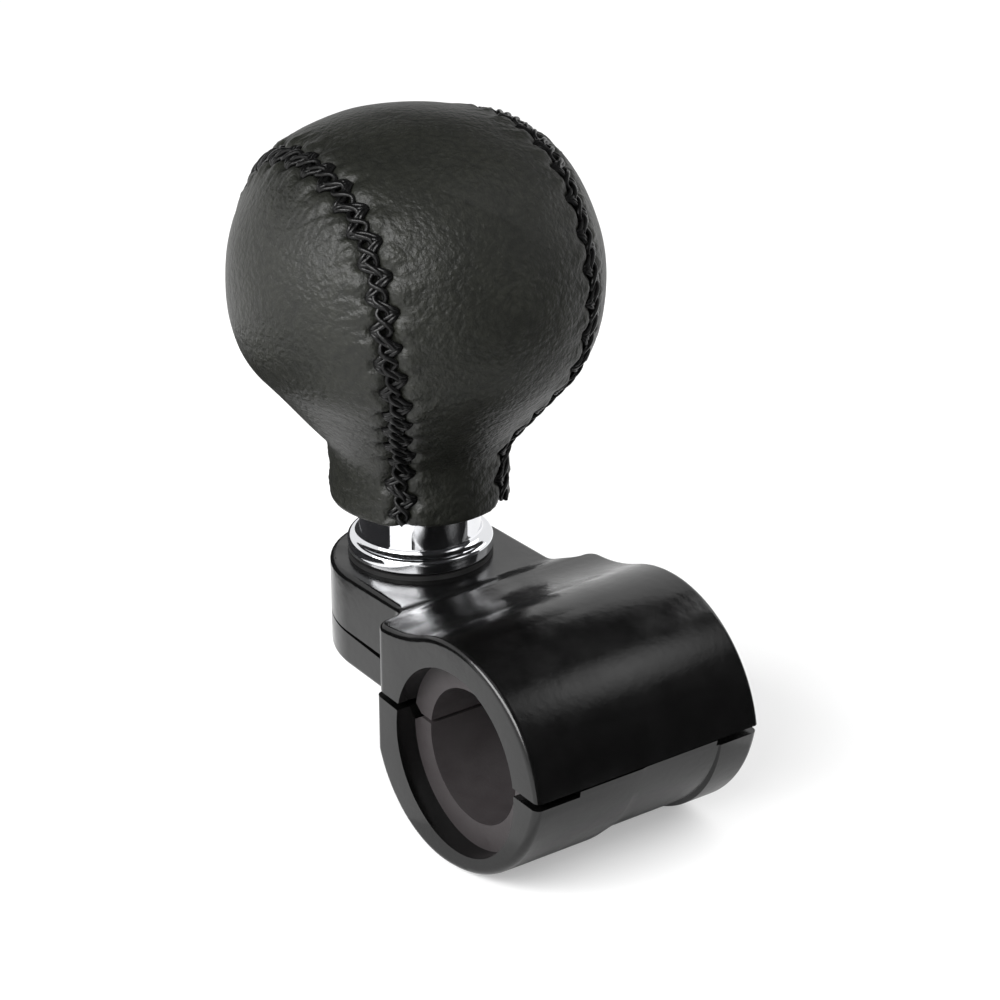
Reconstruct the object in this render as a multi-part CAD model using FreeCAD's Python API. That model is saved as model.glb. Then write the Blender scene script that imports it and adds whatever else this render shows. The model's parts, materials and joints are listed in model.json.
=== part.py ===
import FreeCAD, Part
import math
import os
from FreeCAD import Vector

# Steering wheel spinner knob: a leather covered ball knob that turns on a spindle,
# and a two-piece lever clamp that grips the tube of a steering wheel rim.
# Millimetres. The origin is on the axis of the rim bore, at the middle of its length.
# +Z is parallel to the spindle, the rim bore runs along Y, and the spindle stands on the -X side.
# The parting face of the clamp is tilted about the bore axis, so the knob leans away from the rim.

# Rim clamp
clamp_length = 42.0
rim_r = 10.8
liner_wall = 4.2
liner_recess = 3.5
liner_split_z = 0.7
liner_split_gap = 0.6
liner_bevel_w = 1.7
liner_bevel_h = 1.2
liner_peg_r = 2.5
liner_peg_h = 1.4
peg_play = 0.1
body_wall = 6.2
body_drop = 1.5
side_wall = 5.5
shoulder_drop = 5.6
shoulder_fillet = 28.0
parting_z = 3.2
parting_gap = 1.3
land_gap = 0.3
land_half = 13.0
clamp_tilt = 3.2
jaw_wall = 3.5
jaw_low_x = 3.2
jaw_side_drop = 6.0
waist_depth = 0.9
waist_margin = 1.0
near_band = 10.5
near_ramp = 10.0
far_band = 5.0
far_ramp = 2.5
corner_r = 2.2
rim_round = 1.0
jaw_end_round = 1.2

# Wing that carries the spindle
wing_reach = 17.4
wing_end = 14.0
wing_r = 14.7
wing_step = 0.6
wing_low_z = 3.0
wing_fillet = 3.8
wing_root = 3.0
wing_sink = 0.3
blend_r = 6.0
blend_start = 3.0
contact_w = 2.0

# Locating hook on the far side of the bore
hook_wall = 1.2
hook_lip = 0.7
hook_h = 3.2
hook_lip_h = 1.4
hook_play = 0.2

# Clamp screws, M5 socket head, from below
screw_out = 5.9
screw_y = 8.4
screw_r = 2.5
screw_head_r = 4.25
screw_head_h = 5.0
screw_head_edge = 0.4
screw_hex = 4.0
screw_hex_depth = 2.5
screw_grip = 7.0
screw_play = 0.25
tap_depth = 0.6
screw_washer_r = 4.6
screw_washer_t = 1.0
counterbore_play = 0.2
counterbore_depth = 2.0

# Spindle, with a nut in a pocket under the wing
spindle_r = 4.0
spindle_edge = 0.5
stud_r = 3.0
stud_end = 0.5
stud_play = 0.05
nut_af = 10.0
nut_h = 3.2
lock_washer_r = 5.1
lock_washer_t = 1.2
lock_washer_slit = 0.8
nut_pocket_r = 6.2
collar_r = 5.2

# Dust washer, chrome sleeve and 8 x 16 x 5 mm ball bearings
dust_washer_t = 0.7
dust_washer_play = 0.1
running_gap = 0.3
flange_r = 11.5
flange_h = 2.3
flange_edge = 0.5
sleeve_r = 9.6
sleeve_bore_r = 8.0
sleeve_lip_r = 6.6
sleeve_lip_h = 1.3
sleeve_top_wall = 1.6
bearing_w = 5.0
bearing_gap = 17.0
race_in_r = 5.25
race_out_r = 6.75
ball_r = 1.19
ball_count = 9
ball_play = 0.06
cage_half_h = 1.6
cage_wall = 0.35
cage_play = 0.1
shield_t = 0.3
shield_inset = 0.15
shield_gap = 0.3
inner_spacer_r = 5.0
outer_spacer_wall = 0.9
clip_t = 0.9
clip_groove = 0.5
clip_play = 0.05
clip_wall = 1.5
clip_mouth = 3.0
spindle_top_play = 0.6

# Leather covered ball knob. The insets are how far the centre of an arc lies from the ball centre.
knob_r = 29.2
top_flat = 3.8
shoulder_inset = 12.0
shoulder_lat = 32.5
lower_inset = 15.3
lower_lat = 15.3
cone_lat = 40.4
neck_r = 14.0
neck_arc = 7.6
neck_h = 7.0
bare_sleeve = 6.9
lip_round = 0.6
leather_t = 1.4
glue_gap = 0.05
core_cavity_play = 1.0

# Seams between the leather panels, and their lacing. A lon is the angle out to the side, seen from
# the ball centre, and a lat the angle below the equator.
cover_turn = -6.0
seam_lon = 37.8
seam_mid_lon = 27.3
seam_mid_lat = 35.6
seam_low_lon = 19.2
seam_low_lat = 57.0
seam_neck_lon = 39.0
seam_gap = 0.5
seam_groove_edge = 0.3
thread_r = 0.45
thread_pitch = 5.3
thread_span = 3.6
thread_rise = 0.15
thread_spacing = 0.15
thread_play = 0.1

tiny = 0.01
overlap = 2.0
path_steps = 40
half_length = clamp_length / 2
bore_r = rim_r + liner_wall
body_r = bore_r + body_wall
side_x = bore_r + side_wall
jaw_low_z = bore_r + jaw_wall
shoulder_z = body_r - shoulder_drop
wing_top = shoulder_z - wing_step
spindle_x = side_x + wing_reach
wing_x = spindle_x + wing_end - wing_r
screw_x = side_x + screw_out
jaw_top = parting_z - parting_gap
land_top = parting_z - land_gap
tilt = math.radians(clamp_tilt)
origin = Vector(0, 0, 0)
axis_y = Vector(0, 1, 0)
axis_z = Vector(0, 0, 1)

flange_low = wing_top + dust_washer_t + running_gap
lower_bearing_z = flange_low + sleeve_lip_h
upper_bearing_z = lower_bearing_z + bearing_w + bearing_gap
clip_z = upper_bearing_z + bearing_w
sleeve_top = clip_z + clip_t + sleeve_top_wall
spindle_top = sleeve_top - spindle_top_play
pitch_r = (race_in_r + race_out_r) / 2
neck_bottom = flange_low + flange_h + bare_sleeve
ball_z = neck_bottom + neck_h + knob_r
seam_groove = 2 * thread_r - thread_rise + thread_play

# Length of cutting blocks that run past the whole part.
reach = clamp_length + ball_z + knob_r


def at(x, z):
    return Vector(x, 0, z)


def leaned(x, z):
    return Vector(x * math.cos(tilt) + z * math.sin(tilt), 0, z * math.cos(tilt) - x * math.sin(tilt))


def plane_height(x, level):
    return (level - x * math.sin(tilt)) / math.cos(tilt)


def tilted(shape):
    turned_shape = shape.copy()
    turned_shape.rotate(origin, axis_y, clamp_tilt)
    return turned_shape


def on_spindle(shape):
    placed = shape.copy()
    placed.translate(Vector(-spindle_x, 0, 0))
    return placed


def cylinder(radius, low, high, x=0.0, y=0.0):
    return Part.makeCylinder(radius, high - low, Vector(x, y, low), axis_z)


def tube(outer, inner, low, high):
    return cylinder(outer, low, high).cut(cylinder(inner, low, high))


def bore_cylinder(radius, length, centre=origin):
    return Part.makeCylinder(radius, length, Vector(centre.x, -length / 2, centre.z), axis_y)


def box(x_low, x_high, y_low, y_high, z_low, z_high):
    corner = Vector(x_low, y_low, z_low)
    return Part.makeBox(x_high - x_low, y_high - y_low, z_high - z_low, corner)


def line(first, last):
    return Part.LineSegment(first, last).toShape()


def arc(first, middle, last):
    return Part.Arc(first, middle, last).toShape()


def ray(degrees):
    angle = math.radians(degrees)
    return at(math.cos(angle), math.sin(angle))


def bend(centre, radius, start, end):
    return arc(
        centre + ray(start) * radius,
        centre + ray((start + end) / 2) * radius,
        centre + ray(end) * radius,
    )


def joined_face(curves):
    edges = []
    for index, curve in enumerate(curves):
        edges.append(curve)
        last = curve.Vertexes[-1].Point
        following = curves[(index + 1) % len(curves)].Vertexes[0].Point
        if last.distanceToPoint(following) > tiny:
            edges.append(line(last, following))
    return Part.Face(Part.Wire(edges))


# Closed outline from corner points, each with its rounding radius.
def rounded_face(corners):
    ends = []
    for index, (point, radius) in enumerate(corners):
        if radius == 0:
            ends.append((point, point, point))
            continue
        before = (corners[index - 1][0] - point).normalize()
        after = (corners[(index + 1) % len(corners)][0] - point).normalize()
        half_angle = before.getAngle(after) / 2
        inward = (before + after).normalize()
        centre = point + inward * (radius / math.sin(half_angle))
        run = radius / math.tan(half_angle)
        ends.append((point + before * run, centre - inward * radius, point + after * run))
    edges = []
    for index, (first, middle, last) in enumerate(ends):
        if first != last:
            edges.append(arc(first, middle, last))
        following = ends[(index + 1) % len(ends)][0]
        if last.distanceToPoint(following) > tiny:
            edges.append(line(last, following))
    return Part.Face(Part.Wire(edges))


def polygon_face(points):
    return rounded_face([(point, 0) for point in points])


def along_y(face, half):
    placed = face.copy()
    placed.translate(Vector(0, -half, 0))
    return placed.extrude(Vector(0, 2 * half, 0))


def turned(points):
    return polygon_face([at(x, z) for x, z in points]).revolve(origin, axis_z, 360)


def filleted(shape, radius, wanted):
    return shape.makeFillet(radius, [edge for edge in shape.Edges if wanted(edge.BoundBox)])


def hexagon(across_flats, low, high, x=0.0, y=0.0):
    corner_r = across_flats / math.sqrt(3)
    points = [Vector(corner_r * ray(60 * step).x, corner_r * ray(60 * step).z, 0) for step in range(6)]
    prism = polygon_face(points).extrude(Vector(0, 0, high - low))
    prism.translate(Vector(x, y, low))
    return prism


def crown_x(z):
    return math.sqrt(body_r ** 2 - (z + body_drop) ** 2)


# Fillet between the wing and the block, as large as the end wall of the block allows.
def wing_corner():
    return min(wing_fillet, half_length - wing_r - corner_r)


# Outline of both castings seen from above: the bore block and the wing round the spindle.
def clamp_plan(left):
    low = -body_r
    right = body_r + overlap
    corners = [
        (Vector(right, -half_length, low), 0),
        (Vector(right, half_length, low), 0),
        (Vector(left, half_length, low), corner_r),
        (Vector(left, wing_r, low), wing_corner()),
        (Vector(-wing_x, wing_r, low), 0),
        (Vector(-wing_x, -wing_r, low), 0),
        (Vector(left, -wing_r, low), wing_corner()),
        (Vector(left, -half_length, low), corner_r),
    ]
    block = rounded_face(corners).extrude(Vector(0, 0, 2 * body_r))
    return block.fuse(cylinder(wing_r, low, body_r, -wing_x)).removeSplitter()


# Section of the wing top, the S-shaped rise to the shoulder, and the shoulder itself.
def shoulder_face(crown_join):
    rise = shoulder_z - wing_top
    run = math.sqrt(4 * blend_r * rise - rise ** 2)
    middle = run / 2 - side_x - blend_start
    lean = rise / 2 / math.tan(math.asin(run / 2 / blend_r))
    corners = [
        (at(-reach, 0), 0),
        (at(-reach, wing_top), 0),
        (at(middle - lean, wing_top), blend_r),
        (at(middle + lean, shoulder_z), blend_r),
        (at(crown_join, shoulder_z), 0),
        (origin, 0),
    ]
    return rounded_face(corners)


def upper_block():
    crown_join = -crown_x(shoulder_z)
    shoulder = along_y(shoulder_face(crown_join), half_length + overlap)
    drum = bore_cylinder(body_r, clamp_length + 2 * overlap, at(0, -body_drop))
    block = shoulder.fuse(drum).removeSplitter()

    def on_crease(bounds):
        return bounds.YLength > half_length and bounds.ZMin > 0 \
            and abs(bounds.XMin - crown_join) < tiny and abs(bounds.XMax - crown_join) < tiny

    block = filleted(block, shoulder_fillet, on_crease)
    block = block.common(clamp_plan(-side_x))
    below = tilted(box(-reach, reach, -reach, reach, -reach, parting_z))
    return block.cut(below).removeSplitter()


# Edges round the top of the casting: its two end faces, the wing and the corners between them.
def on_top_rim(bounds):
    middle = plane_height((bounds.XMin + bounds.XMax) / 2, parting_z)
    along_end = bounds.YLength < tiny and abs(abs(bounds.YMin) - half_length) < tiny
    across_top = bounds.XLength < tiny and bounds.YLength > 2 * wing_r - tiny
    round_wing = bounds.XMax < corner_r - side_x + tiny and bounds.ZMin > wing_top - tiny
    return along_end and bounds.ZMax > middle + parting_gap or round_wing and not across_top


# Middle of the wall beside the bore, where the hook engages.
def hook_middle():
    return (math.sqrt(bore_r ** 2 - parting_z ** 2) + crown_x(parting_z)) / 2


def hook_slot():
    middle = hook_middle()
    inner = middle - (hook_wall + hook_lip) / 2
    half_slot = land_half + hook_play
    tip = land_top + hook_h + hook_play
    ledge = land_top + hook_h - hook_lip_h - hook_play
    mouth = box(inner - hook_lip - hook_play, inner + hook_wall + hook_play,
                -half_slot, half_slot, jaw_top, tip)
    cavity = box(inner, inner + hook_wall + hook_lip + hook_play, -half_slot, half_slot, ledge, tip)
    return tilted(mouth.fuse(cavity))


def hook():
    inner = hook_middle() - (hook_wall + hook_lip) / 2
    tip = land_top + hook_h
    blade = box(inner, inner + hook_wall, -land_half, land_half, jaw_top - overlap, tip)
    lip = box(inner, inner + hook_wall + hook_lip, -land_half, land_half, tip - hook_lip_h, tip)
    return tilted(blade.fuse(lip))


def liner_peg(direction, play):
    low = rim_r + liner_wall / 2
    high = bore_r + liner_peg_h + play
    peg = cylinder(liner_peg_r + play, low, high)
    if direction < 0:
        peg = peg.mirror(origin, axis_z)
    return tilted(peg)


# The spindle nut seats here, above the highest point of the parting face round its pocket.
def nut_seat():
    rim = plane_height(-spindle_x - nut_pocket_r, parting_z)
    return rim + stud_end + nut_h + lock_washer_t


def screw_places():
    return [-screw_y, screw_y]


def clamp_body():
    body = filleted(upper_block(), rim_round, on_top_rim)
    body = body.cut(bore_cylinder(bore_r, clamp_length + 2 * overlap))
    body = body.cut(liner_peg(1, peg_play)).cut(hook_slot())
    body = body.cut(cylinder(nut_pocket_r, 0, nut_seat(), -spindle_x))
    body = body.cut(cylinder(stud_r + stud_play, 0, wing_top + overlap, -spindle_x))
    for y in screw_places():
        body = body.cut(tilted(cylinder(screw_r, 0, parting_z + screw_grip + tap_depth, -screw_x, y)))
    return body.removeSplitter()


# Arc of the jaw from its lowest point, where it is level, to a point at one side.
def jaw_arc(end):
    width = end.x + jaw_low_x
    height = end.z + jaw_low_z
    radius = (width ** 2 + height ** 2) / (2 * height)
    centre = at(-jaw_low_x, radius - jaw_low_z)
    angle = math.degrees(math.atan2(end.z - centre.z, width))
    return bend(centre, radius, -90, angle - 360 if width < 0 < angle else angle)


# Shallow waist round one side of the jaw, nearer the far end.
def jaw_waist(sweep, side):
    waist_r = sweep.Curve.Radius
    clear_r = waist_r + waist_depth + waist_margin
    near = near_band - half_length
    far = half_length - far_band
    waist = polygon_face([
        Vector(clear_r, near, 0),
        Vector(waist_r, near + near_ramp, 0),
        Vector(waist_r, far - far_ramp, 0),
        Vector(clear_r, far, 0),
    ]).revolve(origin, axis_y, 360)
    waist.translate(sweep.Curve.Center + at(0, waist_depth))
    return waist.common(side)


def jaw_barrel():
    right_arc = jaw_arc(leaned(crown_x(land_top), land_top))
    left_arc = jaw_arc(at(-side_x, -jaw_side_drop))
    corner = at(-side_x, plane_height(-side_x, land_top))
    side = line(at(-side_x, -jaw_side_drop), corner)
    barrel = along_y(Part.Face(Part.Wire(Part.__sortEdges__([
        right_arc, left_arc, side, line(corner, right_arc.Vertexes[-1].Point)]))), half_length)

    def on_end_rim(bounds):
        side_edge = bounds.XLength < tiny and bounds.XMax < tiny - side_x
        return bounds.YLength < tiny and (bounds.ZMin < -jaw_side_drop - tiny or side_edge)

    barrel = filleted(barrel, jaw_end_round, on_end_rim)
    left_side = box(-reach, -jaw_low_x, -reach, reach, -reach, reach)
    right_side = box(-jaw_low_x, reach, -reach, reach, -reach, reach)
    return barrel.cut(jaw_waist(left_arc, left_side)).cut(jaw_waist(right_arc, right_side))


def jaw_wing():
    root_x = wing_sink - side_x
    inside = overlap - side_x
    corners = [
        (leaned(-reach, parting_z), 0),
        (leaned(-reach, -wing_low_z), 0),
        (at(root_x, plane_height(root_x, -wing_low_z)), wing_root),
        (at(root_x, -jaw_side_drop), 0),
        (at(inside, -jaw_side_drop), 0),
        (leaned(inside, parting_z), 0),
    ]
    return along_y(rounded_face(corners), wing_r + wing_corner()).common(clamp_plan(root_x))


def on_jaw_wing_rim(bounds):
    level = plane_height((bounds.XMin + bounds.XMax) / 2, -wing_low_z)
    on_level = abs((bounds.ZMin + bounds.ZMax) / 2 - level) < tiny
    return on_level and bounds.XMin < -spindle_x and bounds.YLength < half_length + wing_r


# The jaw rests on the body along the far end of the wing, and leaves a gap that grows to the bore.
def above_jaw():
    contact_x = contact_w - spindle_x - wing_end
    upper = along_y(polygon_face([
        at(-reach, parting_z),
        at(contact_x, parting_z),
        at(-bore_r, jaw_top),
        at(0, jaw_top),
        at(0, land_top),
        at(reach, land_top),
        at(reach, reach),
        at(-reach, reach),
    ]), reach)
    near = box(0, reach, -reach, -land_half, jaw_top, reach)
    far = box(0, reach, land_half, reach, jaw_top, reach)
    return tilted(upper.fuse(near).fuse(far))


def clamp_jaw():
    wing = filleted(jaw_wing(), rim_round, on_jaw_wing_rim)
    jaw = jaw_barrel().fuse(wing).cut(above_jaw())
    jaw = jaw.cut(bore_cylinder(bore_r, clamp_length + 2 * overlap)).fuse(hook())
    jaw = jaw.cut(liner_peg(-1, peg_play))
    sink = counterbore_depth - wing_low_z
    for y in screw_places():
        jaw = jaw.cut(tilted(cylinder(screw_r + screw_play, -reach, reach, -screw_x, y)))
        jaw = jaw.cut(tilted(cylinder(screw_washer_r + counterbore_play, -reach, sink, -screw_x, y)))
    return jaw.removeSplitter()


def liner(direction):
    ring = bore_cylinder(bore_r, clamp_length - 2 * liner_recess)
    ring = ring.cut(bore_cylinder(rim_r, clamp_length))
    peg = liner_peg(direction, 0)
    middle = liner_split_z
    half_gap = liner_split_gap / 2
    if direction > 0:
        keep = box(-reach, reach, -reach, reach, middle + half_gap, reach)
    else:
        keep = box(-reach, reach, -reach, reach, -reach, middle - half_gap)
    ring = ring.common(tilted(keep))
    edge = middle + direction * half_gap
    for side in (-1, 1):
        ring = ring.cut(tilted(along_y(polygon_face([
            at(side * (bore_r - liner_bevel_w), edge),
            at(side * (bore_r + liner_bevel_w), edge),
            at(side * (bore_r + liner_bevel_w), edge + direction * 2 * liner_bevel_h),
        ]), half_length)))
    return ring.fuse(peg).removeSplitter()


def clamp_screws():
    seat = counterbore_depth - wing_low_z - screw_washer_t
    tip = parting_z + screw_grip
    low = seat - screw_head_h
    profile = [
        (0, low),
        (screw_head_r - screw_head_edge, low),
        (screw_head_r, low + screw_head_edge),
        (screw_head_r, seat),
        (screw_r, seat),
        (screw_r, tip - screw_head_edge),
        (screw_r - screw_head_edge, tip),
        (0, tip),
    ]
    screw = turned(profile).cut(hexagon(screw_hex, low - overlap, low + screw_hex_depth))
    solids = []
    for y in screw_places():
        placed = screw.copy()
        placed.translate(Vector(-screw_x, y, 0))
        solids.append(tilted(placed))
    return Part.makeCompound(solids)


def screw_washers():
    high = counterbore_depth - wing_low_z
    washer = tube(screw_washer_r, screw_r + screw_play, high - screw_washer_t, high)
    solids = []
    for y in screw_places():
        placed = washer.copy()
        placed.translate(Vector(-screw_x, y, 0))
        solids.append(tilted(placed))
    return Part.makeCompound(solids)


def spindle():
    low = nut_seat() - lock_washer_t - nut_h - stud_end
    groove_high = clip_z + clip_t + clip_play
    return on_spindle(turned([
        (0, low),
        (stud_r - spindle_edge, low),
        (stud_r, low + spindle_edge),
        (stud_r, wing_top),
        (collar_r, wing_top),
        (collar_r, lower_bearing_z),
        (spindle_r, lower_bearing_z),
        (spindle_r, clip_z),
        (spindle_r - clip_groove, clip_z),
        (spindle_r - clip_groove, groove_high),
        (spindle_r, groove_high),
        (spindle_r, spindle_top - spindle_edge),
        (spindle_r - spindle_edge, spindle_top),
        (0, spindle_top),
    ]))


def spindle_nut():
    high = nut_seat() - lock_washer_t
    nut = hexagon(nut_af, high - nut_h, high)
    return on_spindle(nut.cut(cylinder(stud_r, 0, high + overlap)))


def spindle_lock_washer():
    high = nut_seat()
    ring = tube(lock_washer_r, stud_r + stud_play, high - lock_washer_t, high)
    slit = box(0, reach, -lock_washer_slit / 2, lock_washer_slit / 2, 0, reach)
    return on_spindle(ring.cut(slit))


def dust_washer():
    return on_spindle(tube(flange_r, collar_r + dust_washer_play, wing_top, wing_top + dust_washer_t))


def chrome_sleeve():
    flange_high = flange_low + flange_h
    groove_high = clip_z + clip_t + clip_play
    return on_spindle(turned([
        (sleeve_lip_r, flange_low),
        (flange_r, flange_low),
        (flange_r, flange_high - flange_edge),
        (flange_r - flange_edge, flange_high),
        (sleeve_r, flange_high),
        (sleeve_r, sleeve_top),
        (sleeve_bore_r, sleeve_top),
        (sleeve_bore_r, groove_high),
        (sleeve_bore_r + clip_groove, groove_high),
        (sleeve_bore_r + clip_groove, clip_z),
        (sleeve_bore_r, clip_z),
        (sleeve_bore_r, lower_bearing_z),
        (sleeve_lip_r, lower_bearing_z),
    ]))


def ball_ways():
    ways = [ray(360 * step / ball_count) for step in range(ball_count)]
    return [Vector(way.x, way.z, 0) for way in ways]


def bearing_balls(middle):
    return Part.makeCompound([Part.makeSphere(ball_r, way * pitch_r + at(0, middle)) for way in ball_ways()])


def cage_ring(middle):
    ring = tube(pitch_r + cage_wall, pitch_r - cage_wall, middle - cage_half_h, middle + cage_half_h)
    for way in ball_ways():
        ring = ring.cut(Part.makeCylinder(ball_r + cage_play, sleeve_bore_r, at(0, middle), way))
    return ring


def bearing(low):
    middle = low + bearing_w / 2
    track = Part.makeTorus(pitch_r, ball_r + ball_play, at(0, middle), axis_z)
    inner = tube(race_in_r, spindle_r, low, low + bearing_w).cut(track)
    outer = tube(sleeve_bore_r, race_out_r, low, low + bearing_w).cut(track)
    shield = tube(race_out_r, race_in_r + shield_gap, 0, shield_t)
    lower_shield = shield.translated(at(0, low + shield_inset))
    upper_shield = shield.translated(at(0, low + bearing_w - shield_inset - shield_t))
    shields = Part.makeCompound([lower_shield, upper_shield])
    return {
        "inner_race": on_spindle(inner),
        "outer_race": on_spindle(outer),
        "balls": on_spindle(bearing_balls(middle)),
        "cage": on_spindle(cage_ring(middle)),
        "shields": on_spindle(shields),
    }


def inner_spacer():
    low = lower_bearing_z + bearing_w
    return on_spindle(tube(inner_spacer_r, spindle_r, low, low + bearing_gap))


def outer_spacer():
    low = lower_bearing_z + bearing_w
    return on_spindle(tube(sleeve_bore_r, sleeve_bore_r - outer_spacer_wall, low, low + bearing_gap))


def split_ring(outer, inner):
    ring = tube(outer, inner, clip_z, clip_z + clip_t)
    mouth = box(0, reach, -clip_mouth / 2, clip_mouth / 2, 0, reach)
    return on_spindle(ring.cut(mouth))


def spindle_clip():
    inner = spindle_r - clip_groove
    return split_ring(inner + clip_wall, inner)


def sleeve_clip():
    outer = sleeve_bore_r + clip_groove
    return split_ring(outer, outer - clip_wall)


# Knob profile: crown, shoulder, equator, lower bulge, cone and hollow neck, all tangent.
knob_top = knob_r - top_flat
shoulder_r = knob_r - shoulder_inset
lower_r = knob_r - lower_inset
shoulder_centre = ray(shoulder_lat) * shoulder_inset
lower_centre = ray(-lower_lat) * lower_inset
crown_drop = shoulder_centre.z - knob_top
crown_r = (shoulder_r ** 2 - shoulder_centre.x ** 2 - crown_drop ** 2) / (2 * (crown_drop + shoulder_r))
crown_centre = at(0, knob_top - crown_r)
crown_lat = math.degrees(math.atan2(shoulder_centre.z - crown_centre.z, shoulder_centre.x))
cone_way = ray(-cone_lat)
neck_centre_x = neck_r + neck_arc
neck_reach = lower_centre.dot(cone_way) + lower_r + neck_arc
neck_centre = at(neck_centre_x, (neck_reach - neck_centre_x * cone_way.x) / cone_way.z)


def knob_solid(inset, low):
    curves = [
        bend(crown_centre, crown_r - inset, 90, crown_lat),
        bend(shoulder_centre, shoulder_r - inset, crown_lat, shoulder_lat),
        bend(origin, knob_r - inset, shoulder_lat, -lower_lat),
        bend(lower_centre, lower_r - inset, -lower_lat, -cone_lat),
        bend(neck_centre, neck_arc + inset, 180 - cone_lat, 180),
        line(at(neck_r - inset, low - ball_z), at(0, low - ball_z)),
    ]
    return joined_face(curves).revolve(origin, axis_z, 360).translated(at(0, ball_z))


# Direction of the knob surface at a point measured from the ball centre.
def knob_normal(point):
    flat = at(math.hypot(point.x, point.y), point.z)
    if point.z > (ray(crown_lat) * crown_r + crown_centre).z:
        way = flat - crown_centre
    elif point.z > (ray(shoulder_lat) * knob_r).z:
        way = flat - shoulder_centre
    elif point.z > (ray(-lower_lat) * knob_r).z:
        way = flat
    elif point.z > (lower_centre + cone_way * lower_r).z:
        way = flat - lower_centre
    elif point.z > (neck_centre - cone_way * neck_arc).z:
        way = cone_way
    elif point.z > neck_centre.z:
        way = neck_centre - flat
    else:
        way = at(1, 0)
    way = at(way.x, way.z).normalize()
    return Vector(way.x * point.x / flat.x, way.x * point.y / flat.x, way.z)


def seam_curves(side, shift):
    def seam_point(radius, lon, z):
        return Vector(0, side * (radius * ray(lon).z + shift), z)

    equator = seam_point(knob_r, seam_lon, ball_z)
    middle = seam_point(knob_r, seam_mid_lon, ball_z - knob_r * ray(seam_mid_lat).z)
    low = seam_point(knob_r, seam_low_lon, ball_z - knob_r * ray(seam_low_lat).z)
    return [
        line(seam_point(knob_r, seam_lon, ball_z + knob_r + overlap), equator),
        arc(equator, middle, low),
        line(low, seam_point(neck_r, seam_neck_lon, neck_bottom - overlap)),
    ]


def across_cover(shape):
    placed = shape.copy()
    placed.translate(Vector(-reach, 0, 0))
    solid = placed.extrude(Vector(2 * reach, 0, 0))
    solid.rotate(origin, axis_z, cover_turn)
    return solid


# Block between the two seams, seen along the leather strip.
def between_seams(shift):
    right = seam_curves(1, shift)
    left = seam_curves(-1, shift)
    edges = right + left + [
        line(right[0].Vertexes[0].Point, left[0].Vertexes[0].Point),
        line(right[-1].Vertexes[-1].Point, left[-1].Vertexes[-1].Point),
    ]
    return across_cover(Part.Face(Part.Wire(Part.__sortEdges__(edges))))


def on_neck_lip(bounds):
    return abs(bounds.ZMax - neck_bottom) < tiny and bounds.XLength > 2 * neck_r - tiny


def leather_panels():
    shell = knob_solid(0, neck_bottom)
    shell = filleted(shell, lip_round, on_neck_lip)
    shell = shell.cut(knob_solid(leather_t, neck_bottom - overlap))
    channel_half = thread_span / 2 + seam_groove_edge
    band = between_seams(channel_half).cut(between_seams(-channel_half))
    band = band.cut(knob_solid(seam_groove, neck_bottom - overlap))
    centre = shell.common(between_seams(-seam_gap / 2)).cut(band)
    sides = shell.cut(between_seams(seam_gap / 2)).cut(band)
    left = min(sides.Solids, key=lambda solid: solid.CenterOfMass.y)
    right = max(sides.Solids, key=lambda solid: solid.CenterOfMass.y)
    return [on_spindle(centre), on_spindle(left), on_spindle(right)]


def knob_core():
    core = knob_solid(leather_t + glue_gap, neck_bottom)
    core = core.cut(cylinder(sleeve_r, 0, sleeve_top))
    return on_spindle(core.cut(cylinder(sleeve_bore_r, 0, sleeve_top + core_cavity_play)))


def seam_path(side):
    curtain = across_cover(Part.Wire(seam_curves(side, 0)))
    section = knob_solid(0, neck_bottom).section(curtain)
    edges = [edge for edge in section.Edges if edge.BoundBox.ZMax > neck_bottom + tiny]
    points = []
    for edge in Part.__sortEdges__(edges):
        points += edge.discretize(path_steps)[:-1]
    return Part.makePolygon(points)


def seam_lacing(side):
    path = seam_path(side)
    stitches = 2 * int(path.Length / thread_pitch)
    points = path.discretize(2 * stitches + 1)
    step = path.Length / stitches
    slant = step / 2 - thread_r - thread_spacing / 2
    bars = []
    for index in range(stitches):
        before = points[2 * index]
        middle = points[2 * index + 1]
        along = (points[2 * index + 2] - before).normalize()
        normal = knob_normal(middle - at(0, ball_z))
        across = normal.cross(along).normalize()
        lean = slant if index % 2 else -slant
        half_bar = across * (thread_span / 2) + along * lean
        start = middle + normal * (thread_rise - thread_r) - half_bar
        bars.append(Part.makeCylinder(thread_r, 2 * half_bar.Length, start, half_bar))
    return on_spindle(Part.makeCompound(bars))


def build():
    centre_panel, left_panel, right_panel = leather_panels()
    nodes = {
        "clamp_body": clamp_body(),
        "clamp_jaw": clamp_jaw(),
        "upper_liner": liner(1),
        "lower_liner": liner(-1),
        "clamp_screws": clamp_screws(),
        "screw_washers": screw_washers(),
        "spindle": spindle(),
        "spindle_nut": spindle_nut(),
        "spindle_lock_washer": spindle_lock_washer(),
        "dust_washer": dust_washer(),
        "chrome_sleeve": chrome_sleeve(),
        "inner_spacer": inner_spacer(),
        "outer_spacer": outer_spacer(),
        "spindle_clip": spindle_clip(),
        "sleeve_clip": sleeve_clip(),
        "knob_core": knob_core(),
        "leather_centre_panel": centre_panel,
        "leather_left_panel": left_panel,
        "leather_right_panel": right_panel,
        "left_seam_lacing": seam_lacing(-1),
        "right_seam_lacing": seam_lacing(1),
    }
    for place, low in (("lower", lower_bearing_z), ("upper", upper_bearing_z)):
        for name, shape in bearing(low).items():
            nodes[place + "_bearing_" + name] = shape
    return nodes


os.makedirs("parts", exist_ok=True)
for node, shape in build().items():
    shape.exportStep("parts/" + node + ".step")
    print(node, len(shape.Solids), shape.isValid(), round(shape.Volume, 1))
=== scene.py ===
import bpy
import bmesh
import json
import math
from mathutils import Matrix, Vector, kdtree, noise


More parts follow.
